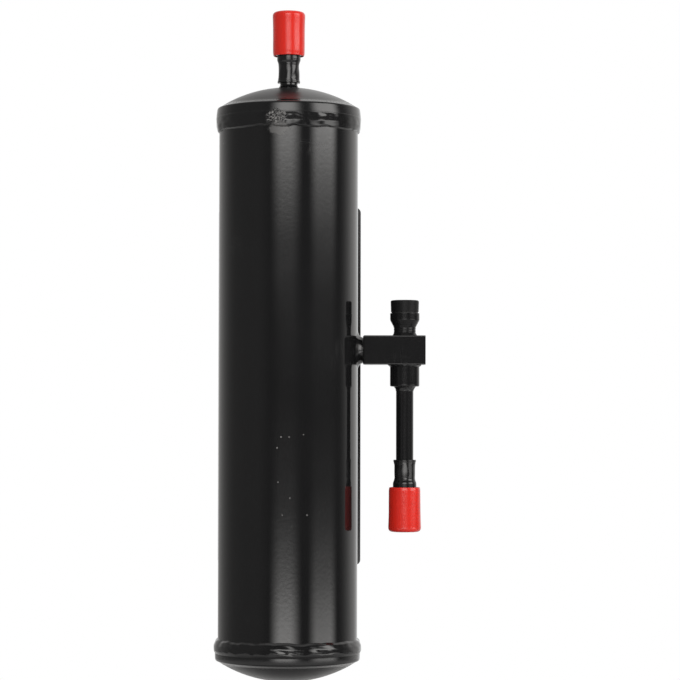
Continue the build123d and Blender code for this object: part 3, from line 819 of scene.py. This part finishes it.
class DRIER_OT_welds(bpy.types.Operator):
    """Lays the weld beads and braze fillets"""

    bl_idname = "drier.welds"
    bl_label = "Lay the welds"

    def execute(self, context):
        settings = context.scene.drier_weld
        seed = settings.seed
        top = lap_bead("top_weld_bead", 1, TOP_BEAD, settings, seed, TOP_TOE_MARKS)
        top = with_knot(top, np.array(KNOT) / MM, seed + 9)
        steel_piece("weld_top", [grid_surface(top)], "upper weld", "top_weld_bead")
        bottom = lap_bead("bottom_weld_bead", -1, BOTTOM_BEAD, settings, seed + 20, BOTTOM_TOE_MARKS)
        steel_piece("weld_bottom", [grid_surface(bottom)], "welds", "bottom_weld_bead")
        steel_piece("weld_block", [grid_surface(saddle_weld(seed + 40))], "small welds", "block_weld")
        low, high = node_box("boss_weld")
        face, outer = high[2], (high[0] - low[0]) / 2
        arc = hollow_arc((outer + 0.15, face + 0.02), (8.09, low[2] - 0.1), -0.25)
        fillet = np.vstack([arc, [(7.5, low[2]), (7.5, face + 0.3), (outer - 0.4, face + 0.3)]])
        ring = ring_weld("boss_weld", fillet, 240, seed + 50, 0.14, 0.15)
        steel_piece("weld_boss", [ring], "small welds", "boss_weld")
        for node, piece, way, hollow, foot_back, ring_seed, amount in (
            ("inlet_braze", "braze_inlet", 1, 0.75, 0.4, seed + 60, 0.08),
            ("outlet_braze", "braze_outlet", -1, 0.45, 0.3, seed + 70, 0.12),
        ):
            low, high = node_box(node)
            outer = (high[0] - low[0]) / 2
            foot, neck = (low[2], high[2]) if way > 0 else (high[2], low[2])
            back = [(4.3, neck - way * 0.2), (4.3, foot - way * foot_back), (outer - 0.3, foot - way * 0.3)]
            fillet = np.vstack([hollow_arc((outer, foot - way * 0.02), (4.8, neck), hollow), back])
            steel_piece(piece, [ring_weld(node, fillet, 160, ring_seed, amount)], "welds", node)
        return {"FINISHED"}


# ---------------------------------------------------------------- turned parts


def thread_groove(angle, height, pitch):
    """0 on the crest and 1 in the root of a right-handed thread: a cosine of the height over the
    pitch less the angle, with its crest a little flattened."""
    return (0.5 - 0.5 * np.cos(TURN * height / pitch - angle)) ** 1.3


# Outline of a fitting as (radius, distance from the lip, softness).
FITTING_OUTLINE = (
    (4.815, 0.0, 0.15), (6.2, 0.0, 0.3), (6.2, 1.1, 0.25), (6.0, 1.25, 0.15), (5.7, 10.8, 0.9), (6.45, 12.6, 0.7),
    (6.45, 15.2, 0.2), (6.9, 15.3, 0.1), (6.9, 16.6, 0.2), (7.85, 16.9, 0.3), (7.85, 26.3, 0.3), (6.95, 27.2, 0.3),
    (4.9, 27.2, 0.25), (4.1, 26.4, 0.3), (4.1, 18.2, 0.2), (3.4, 18.2, 0.15), (3.4, 8.0, 0.1), (4.815, 8.0, 0.1),
)


class DRIER_OT_fittings(bpy.types.Operator):
    """Turns the two tube fittings with their male threads"""

    bl_idname = "drier.fittings"
    bl_label = "Turn the fittings"

    def execute(self, context):
        settings = context.scene.drier_fitting
        for node, piece, way in (("inlet_fitting", "fitting_inlet", 1), ("outlet_fitting", "fitting_outlet", -1)):
            low, high = node_box(node)
            lip = low[2] if way > 0 else high[2]
            outline = soft_outline(FITTING_OUTLINE, 0.16)
            outline[:, 1] = lip + way * outline[:, 1]

            def change(angle, radius, height, lip=lip, way=way):
                along = (height - lip) * way
                threaded = smooth_step(radius, 7.3, 7.8) * window(along, 16.8, 18.2, 26.2, 27.0)
                cut = settings.depth * threaded * thread_groove(angle, height, settings.pitch)
                barrel = window(along, 1.5, 3.0, 9.5, 11.0) * (radius > 5.5)
                dents = settings.dent * barrel * (1 + unevenness(angle, along * 0.5, 31 + way, 2, 5, 0.8))
                return radius - cut - np.clip(dents, 0, None)

            surface = grid_surface(carried_round(outline, node_centre(node), 120, change))
            steel_piece(piece, [surface], "turned fitting", node)
        return {"FINISHED"}


BLOCK_START_X = 40.9
BLOCK_EDGE = 0.55
SPIGOT_R = 6.8
TUBE_R = 4.815


class DRIER_OT_block(bpy.types.Operator):
    """Shapes the outlet block and the boss under it"""

    bl_idname = "drier.block"
    bl_label = "Shape the block"

    def execute(self, context):
        low, high = node_box("side_block")
        half = (high[1] - low[1]) / 2
        _, centre_y, centre_z = node_centre("side_block")
        start = BLOCK_START_X
        ends = ((0.0, start, 0.0), (half, start, 1.25), (half, high[0], 0.38), (0.0, high[0], 0.0))
        ends = soft_outline(ends, 0.5, closed=False, points=9)
        corners = np.array(((half, half), (-half, half), (-half, -half), (half, -half)))
        square = soft_outline(np.column_stack([corners, np.full(4, BLOCK_EDGE)]), 0.4, points=11)[:, None, :] / half
        reach, along = ends[None, :, 0], ends[None, :, 1] + 0 * square[..., 0]
        body = np.stack([along, centre_y + reach * square[..., 0], centre_z + reach * square[..., 1]], -1)
        spigot = ((0.0, low[0], 0.0), (SPIGOT_R, low[0], 0.3), (SPIGOT_R, start + 1.0, 0.2), (0.0, start + 1.0, 0.0))
        lying = carried_round(soft_outline(spigot, 1.0, closed=False), (0.0, 0.0), 96)
        lying = np.stack([lying[..., 2], centre_y + lying[..., 1], centre_z + lying[..., 0]], -1)
        surfaces = [grid_surface(points, close_columns=False, poles=True) for points in (body, lying)]
        steel_piece("block_body", surfaces, "sawn block", "side_block")
        low, high = node_box("outlet_boss")
        bottom, top, face = low[2], high[2], high[2] - 4.0
        outline = soft_outline(
            ((3.4, top, 0.1), (5.5, top, 0.2), (5.5, face, 0.1), (8.1, face, 0.1), (8.1, bottom, 1.0),
             (TUBE_R, bottom, 0.1), (TUBE_R, bottom + 7.0, 0.1), (3.4, bottom + 7.0, 0.1)), 0.3, points=8,
        )

        def change(angle, radius, height):
            dents = 0.03 + 0.03 * unevenness(angle, height * 0.1, 77, 2, 5, 0.8)
            return radius - smooth_step(radius, 7.2, 7.9) * np.clip(dents, 0, None)

        boss = grid_surface(carried_round(outline, node_centre("service_port"), 144, change))
        steel_piece("boss_body", [boss], "boss", "outlet_boss")
        return {"FINISHED"}


PORT_BORE_R = 5.0
PORT_THREAD = 0.34
PORT_RIDGE, PORT_RIDGE_PITCH = 0.07, 1.35


class DRIER_OT_port(bpy.types.Operator):
    """Turns the service port and finishes its valve"""

    bl_idname = "drier.port"
    bl_label = "Turn the service port"

    def execute(self, context):
        low, high = node_box("service_port")
        face, top = node_box("side_block")[1][2], high[2]
        pitch = context.scene.drier_cap.screw_pitch
        outline = soft_outline(
            ((2.2, low[2], 0.1), (5.5, low[2], 0.2), (5.5, face, 0.1), (6.9, face, 0.25), (6.35, face + 0.9, 0.4),
             (6.05, face + 1.4, 0.5), (6.05, face + 4.7, 1.0), (8.05, face + 8.5, 0.7), (8.05, top, 0.45),
             (PORT_BORE_R, top, 0.25), (PORT_BORE_R, top - 6.4, 0.1), (2.6, top - 6.4, 0.15), (2.6, 25.0, 0.1),
             (2.2, 25.0, 0.1)), 0.14,
        )

        def change(angle, radius, height):
            neck = window(height, face + 1.2, face + 2.0, face + 4.5, face + 5.7) * (radius > 5.4)
            bore = (np.abs(radius - PORT_BORE_R) < 0.02) * window(height, top - 5.8, top - 5.2, top - 0.7, top - 0.3)
            ridge = PORT_RIDGE * neck * (np.cos(TURN * height / PORT_RIDGE_PITCH - angle) - 1)
            return radius + ridge + PORT_THREAD * bore * (1 - thread_groove(angle, height, pitch))

        port = grid_surface(carried_round(outline, node_centre("service_port"), 120, change))
        steel_piece("port_body", [port], "service port", "service_port")
        dress(found("Turned brass", bare_metal, (0.72, 0.47, 0.19), 0.28, 10 * MICROMETRE), "valve_core", "valve_pin")
        rubber = found("Black seal rubber", plastic, (0.012, 0.012, 0.012), 0.5, 6 * MICROMETRE, 0.02 / 0.012)
        dress(rubber, "cap_gasket")
        return {"FINISHED"}


# ---------------------------------------------------------------- caps


class DRIER_OT_caps(bpy.types.Operator):
    """Moulds the two push-on caps and the screw cap"""

    bl_idname = "drier.caps"
    bl_label = "Mould the caps"

    def execute(self, context):
        settings = context.scene.drier_cap
        red = found("Red cap plastic", plastic, settings.red, 0.19, 4 * MICROMETRE, 0.8)
        for node, piece, way, seed in (("inlet_cap", "cap_inlet", 1, 3), ("outlet_cap", "cap_outlet", -1, 4)):
            low, high = node_box(node)
            mouth, end = (low[2], high[2]) if way > 0 else (high[2], low[2])
            widest = (high[0] - low[0]) / 2
            outline = soft_outline(
                ((0.0, end - way * 1.3, 0.0), (widest - 0.9, end - way * 1.45, 1.6),
                 (widest - 1.15, end - way * 9.0, 6.0), (7.95, mouth + way * 1.2, 0.6), (7.95, mouth, 0.28),
                 (8.4, mouth, 0.6), (8.66, mouth + way * 1.7, 1.2), (widest - 0.34, end - way * 9.5, 8.0),
                 (widest - 0.02, end - way * 0.42, 2.5), (0.0, end, 0.0)),
                0.28, closed=False, points=9,
            )

            def change(angle, radius, height, mouth=mouth, way=way, seed=seed):
                loose = smooth_step((height - mouth) * way, 22.0, 2.0) * smooth_step(radius, 4.0, 7.0)
                return radius + 0.035 * loose * unevenness(angle, height * 0.2, seed, 2, 5, 1.0)

            cap = carried_round(outline, node_centre(node), 160, change)
            make_piece(piece, [grid_surface(cap, close_columns=False, poles=True)], node, red, [node])
        low, high = node_box("valve_cap")
        bottom, top = low[2], high[2]
        seat = node_box("cap_gasket")[1][2]
        outline = soft_outline(
            ((0.0, bottom, 0.0), (4.75, bottom, 0.4), (4.75, seat, 0.1), (7.6, seat, 0.25), (7.79, top - 0.1, 1.1),
             (0.0, top, 0.0)), 0.12, closed=False, points=7,
        )

        def change(angle, radius, height):
            stud = (radius > 4.5) * (radius < 4.8) * window(height, bottom + 0.4, bottom + 1.0, seat - 0.9, seat - 0.4)
            grip = smooth_step(radius, 7.4, 7.7) * window(height, seat + 0.5, seat + 0.9, top - 1.3, top - 0.8)
            thread = 0.3 * stud * (1 - thread_groove(angle, height, settings.screw_pitch))
            return radius + thread - 0.02 * grip * (0.5 + 0.5 * np.cos(24 * angle)) ** 2

        cap = carried_round(outline, node_centre("valve_cap"), 240, change)
        black = found("Black cap plastic", plastic, settings.black, 0.42, 6 * MICROMETRE, 1.6, gloss=0.12)
        surfaces = [grid_surface(cap, close_columns=False, poles=True)]
        make_piece("cap_valve", surfaces, "valve_cap", black, ["valve_cap"])
        return {"FINISHED"}


class DRIER_OT_inside(bpy.types.Operator):
    """Finishes the drying bed, its spring and the pick-up tube"""

    bl_idname = "drier.inside"
    bl_label = "Finish the inside"

    def execute(self, context):
        steel = found("Rolled steel", bare_metal, (0.52, 0.51, 0.49), 0.34, 12 * MICROMETRE)
        dress(steel, "support_ring", "lower_screen", "upper_screen", "bed_spring", "pickup_tube", "strainer")
        dress(found("Filter felt", felt), "lower_felt", "upper_felt")
        dress(found("Desiccant beads", beads), "desiccant")
        return {"FINISHED"}


# ---------------------------------------------------------------- stage


FRONT_STRENGTH = 0.10
STUDIO_WHITE = (1.0, 0.985, 0.965, 1.0)
WHITE = (1.0, 1.0, 1.0, 1.0)
# Compass degrees at which each soft light starts and is full, and then ends and begins to fade.
FIRST_LIGHT = (-31.0, -9.0, 26.0, 3.0)
SECOND_LIGHT = (33.0, 52.0, 92.0, 74.0)
# Strength of the lights at the level of the lens, growth with each degree, and the most.
LIGHT_ABOVE = (0.0103, 0.95, 4.6)
LIGHT_BELOW = (0.032, -1.05, 4.4)


def light_growth(tree, rise, start, growth, most):
    """Strength that starts at the level of the lens and grows as a power of e with the rise in
    degrees, up to a most."""
    grown = times(tree, start, maths(tree, "EXPONENT", times(tree, rise, growth)))
    return maths(tree, "MINIMUM", grown, most)


def between(tree, value, start, full, end, fade):
    """Rise from 0 at start to 1 at full, times a fall from 1 at fade to 0 at end."""
    return times(tree, ranged(tree, value, start, full), ranged(tree, value, end, fade))


def backdrop():
    """World of a pale studio. By compass angle from the camera, the part behind the object is
    white, the part in front is dim and holds two tall soft lights above and two below the level of
    the lens. The camera, and clear things, see plain white all round."""
    world = bpy.data.worlds.new("Studio")
    bpy.context.scene.world = world
    world.use_nodes = True
    tree = world.node_tree
    tree.nodes.clear()
    parts = add(tree, "ShaderNodeSeparateXYZ", {0: tree.nodes.new("ShaderNodeTexCoord").outputs["Generated"]}).outputs
    degrees = 180 / math.pi
    compass = times(tree, maths(tree, "ARCTAN2", parts[0], times(tree, parts[1], -1.0)), degrees)
    rise = times(tree, maths(tree, "ARCSINE", parts[2]), degrees)
    near_left = ranged(tree, compass, -22.0, -52.0, 0.0, 0.13)
    left = times(tree, ranged(tree, compass, -95.0, -150.0, 0.0, 0.30), ranged(tree, rise, -6.0, 7.0, 0.6, 1.15))
    right = times(tree, ranged(tree, compass, 92.0, 135.0, 0.0, 0.78), ranged(tree, rise, -6.0, 7.0, 0.85, 1.1))
    surround = plus(tree, plus(tree, FRONT_STRENGTH, near_left), plus(tree, left, right))
    above = times(tree, light_growth(tree, rise, *LIGHT_ABOVE), ranged(tree, rise, 34.0, 24.0))
    below = times(tree, light_growth(tree, rise, *LIGHT_BELOW), ranged(tree, rise, -22.0, -15.0))
    first = times(tree, between(tree, compass, *FIRST_LIGHT), plus(tree, above, below))
    second = times(tree, between(tree, compass, *SECOND_LIGHT), plus(tree, above, times(tree, below, 0.7)))
    overhead = ranged(tree, rise, 50.0, 80.0, 0.0, 0.7)
    strength = plus(tree, plus(tree, surround, plus(tree, first, second)), overhead)
    studio = add(tree, "ShaderNodeBackground", {"Color": STUDIO_WHITE, "Strength": strength})
    white = add(tree, "ShaderNodeBackground", {"Color": WHITE, "Strength": 1.0})
    path = tree.nodes.new("ShaderNodeLightPath").outputs
    behind = maths(tree, "MAXIMUM", ranged(tree, compass, 140.0, 165.0), ranged(tree, compass, -156.0, -176.0))
    high, deep = ranged(tree, rise, 30.0, 8.0, 0.27, 1.0), ranged(tree, rise, -40.0, -14.0, 0.38, 1.0)
    mirrored = times(tree, path["Is Glossy Ray"], times(tree, behind, maths(tree, "MINIMUM", high, deep)))
    seen = plus(tree, path["Is Camera Ray"], path["Is Transmission Ray"])
    seen = plus(tree, seen, mirrored, clamp=True)
    mixed = add(tree, "ShaderNodeMixShader", {0: seen, 1: studio.outputs[0], 2: white.outputs[0]})
    add(tree, "ShaderNodeOutputWorld", {0: mixed.outputs[0]})


FLOOR_REACH, FLOOR_RINGS, FLOOR_SPOKES = 1000, 24, 96


def floor_piece(height):
    """Round pale floor: rings of points whose radius grows evenly about one middle point. Its own
    tone fades to the white of the backdrop at its rim, so the rim doesn't show, and the object's
    shadow stays. For all rays but the camera's its colour is painted darker within about a third of a metre of the
    middle: painted shade that the object reflects and takes its bounce light from."""
    ring = np.linspace(0, FLOOR_REACH, FLOOR_RINGS)
    angle = np.linspace(0, TURN, FLOOR_SPOKES, endpoint=False)[:, None]
    level = np.full((FLOOR_SPOKES, FLOOR_RINGS), height / MM)
    points = np.stack([ring * np.cos(angle), ring * np.sin(angle), level], -1).reshape(-1, 3)
    index = np.arange(len(points)).reshape(FLOOR_SPOKES, FLOOR_RINGS)
    index[:, 0] = 0
    following = np.roll(index, -1, 0)
    quads = np.stack([index[:, 1:-1], index[:, 2:], following[:, 2:], following[:, 1:-1]], -1).reshape(-1, 4)
    middle = np.stack([index[:, 0], index[:, 1], following[:, 1]], -1)
    used, places = np.unique(np.concatenate([quads.ravel(), middle.ravel()]), return_inverse=True)
    faces = places[: quads.size].reshape(-1, 4).tolist() + places[quads.size :].reshape(-1, 3).tolist()
    mesh = bpy.data.meshes.new("floor")
    mesh.from_pydata((points[used] * MM).tolist(), [], faces)
    mesh.update()
    material, tree, surface, place = start_material("Pale floor")
    pale = blended(tree, noise(tree, place, 9.0, 3.0), (0.83, 0.83, 0.83), (0.87, 0.87, 0.87))
    away = from_axis(tree, place)
    camera_ray = tree.nodes.new("ShaderNodeLightPath").outputs["Is Camera Ray"]
    # Painted shade: for all but camera rays the floor's colour is darkened to 0.30 near the middle, rising to 0.95 by
    # a third of a metre out.
    shade = maths(tree, "MAXIMUM", ranged(tree, away, 0.08, 0.34, 0.30, 0.95), camera_ray)
    tone = blended(tree, shade, (0, 0, 0), pale)
    fill(tree, surface, {"Base Color": tone, "Roughness": 0.9, "Specular IOR Level": 0.1})
    glow = add(tree, "ShaderNodeEmission", {"Color": WHITE, "Strength": 1.0})
    seen = times(tree, camera_ray, ranged(tree, away, 0.35, 0.95, 0.55, 1.0))
    mixed = add(tree, "ShaderNodeMixShader", {0: seen, 1: surface.outputs[0], 2: glow.outputs[0]})
    tree.links.new(mixed.outputs[0], tree.nodes["Material Output"].inputs[0])
    mesh.materials.append(material)
    piece = bpy.data.objects.new("floor", mesh)
    bpy.context.scene.collection.objects.link(piece)


# Lamps as (name, place, size, power in watts).
LAMPS = (("soft_lamp_left", (-0.9, -1.5, 1.3), 0.9, 8.0), ("soft_lamp_right", (1.1, -1.2, 1.0), 0.8, 8.0))


class DRIER_OT_stage(bpy.types.Operator):
    """Sets the floor, the studio light and the camera"""

    bl_idname = "drier.stage"
    bl_label = "Set the stage"

    def execute(self, context):
        settings = context.scene.drier_stage
        backdrop()
        floor_piece(settings.floor_height)
        for name, place, size, power in LAMPS:
            lamp = bpy.data.lights.new(name, "AREA")
            lamp.size, lamp.energy = size, power
            lamp_object = bpy.data.objects.new(name, lamp)
            lamp_object.location = place
            lamp_object.rotation_euler = (-Vector(place)).to_track_quat("-Z", "Y").to_euler()
            lamp_object.visible_glossy = False
            context.scene.collection.objects.link(lamp_object)
        camera = bpy.data.cameras.new("camera")
        camera.sensor_width, camera.lens = 36.0, settings.lens
        camera.clip_start, camera.clip_end = 0.05, 50.0
        camera_object = bpy.data.objects.new("camera", camera)
        place, target = Vector(settings.camera), Vector(settings.target)
        aim = (target - place).to_track_quat("-Z", "Y").to_matrix() @ Matrix.Rotation(settings.roll, 3, "Z")
        camera_object.location = place
        camera_object.rotation_euler = aim.to_euler()
        context.scene.collection.objects.link(camera_object)
        context.scene.camera = camera_object
        context.scene.view_settings.view_transform = "Standard"
        return {"FINISHED"}


# ---------------------------------------------------------------- add-on


OPERATORS = (
    DRIER_OT_stage, DRIER_OT_vessel, DRIER_OT_welds, DRIER_OT_fittings, DRIER_OT_block, DRIER_OT_port, DRIER_OT_caps,
    DRIER_OT_inside,
)
SETTINGS = (
    ("drier_enamel", EnamelSettings), ("drier_weld", WeldSettings), ("drier_fitting", FittingSettings),
    ("drier_cap", CapSettings), ("drier_stage", StageSettings),
)


class DRIER_PT_panel(bpy.types.Panel):
    """Lists the drier's pieces in the order they are made"""

    bl_label = "Receiver Drier"
    bl_idname = "DRIER_PT_panel"
    bl_space_type = "VIEW_3D"
    bl_region_type = "UI"
    bl_category = "Drier"

    def draw(self, context):
        for operator in OPERATORS:
            self.layout.operator(operator.bl_idname)
        for name, group in SETTINGS:
            box = self.layout.box()
            settings = getattr(context.scene, name)
            for prop in group.__annotations__:
                box.prop(settings, prop)


def register():
    for name, group in SETTINGS:
        bpy.utils.register_class(group)
        setattr(bpy.types.Scene, name, PointerProperty(type=group))
    for operator in OPERATORS:
        bpy.utils.register_class(operator)
    bpy.utils.register_class(DRIER_PT_panel)


def unregister():
    bpy.utils.unregister_class(DRIER_PT_panel)
    for operator in reversed(OPERATORS):
        bpy.utils.unregister_class(operator)
    for name, group in reversed(SETTINGS):
        delattr(bpy.types.Scene, name)
        bpy.utils.unregister_class(group)


def main():
    register()
    bpy.ops.drier.stage()
    bpy.ops.drier.vessel()
    bpy.ops.drier.welds()
    bpy.ops.drier.fittings()
    bpy.ops.drier.block()
    bpy.ops.drier.port()
    bpy.ops.drier.caps()
    bpy.ops.drier.inside()


if __name__ == "__main__":
    main()
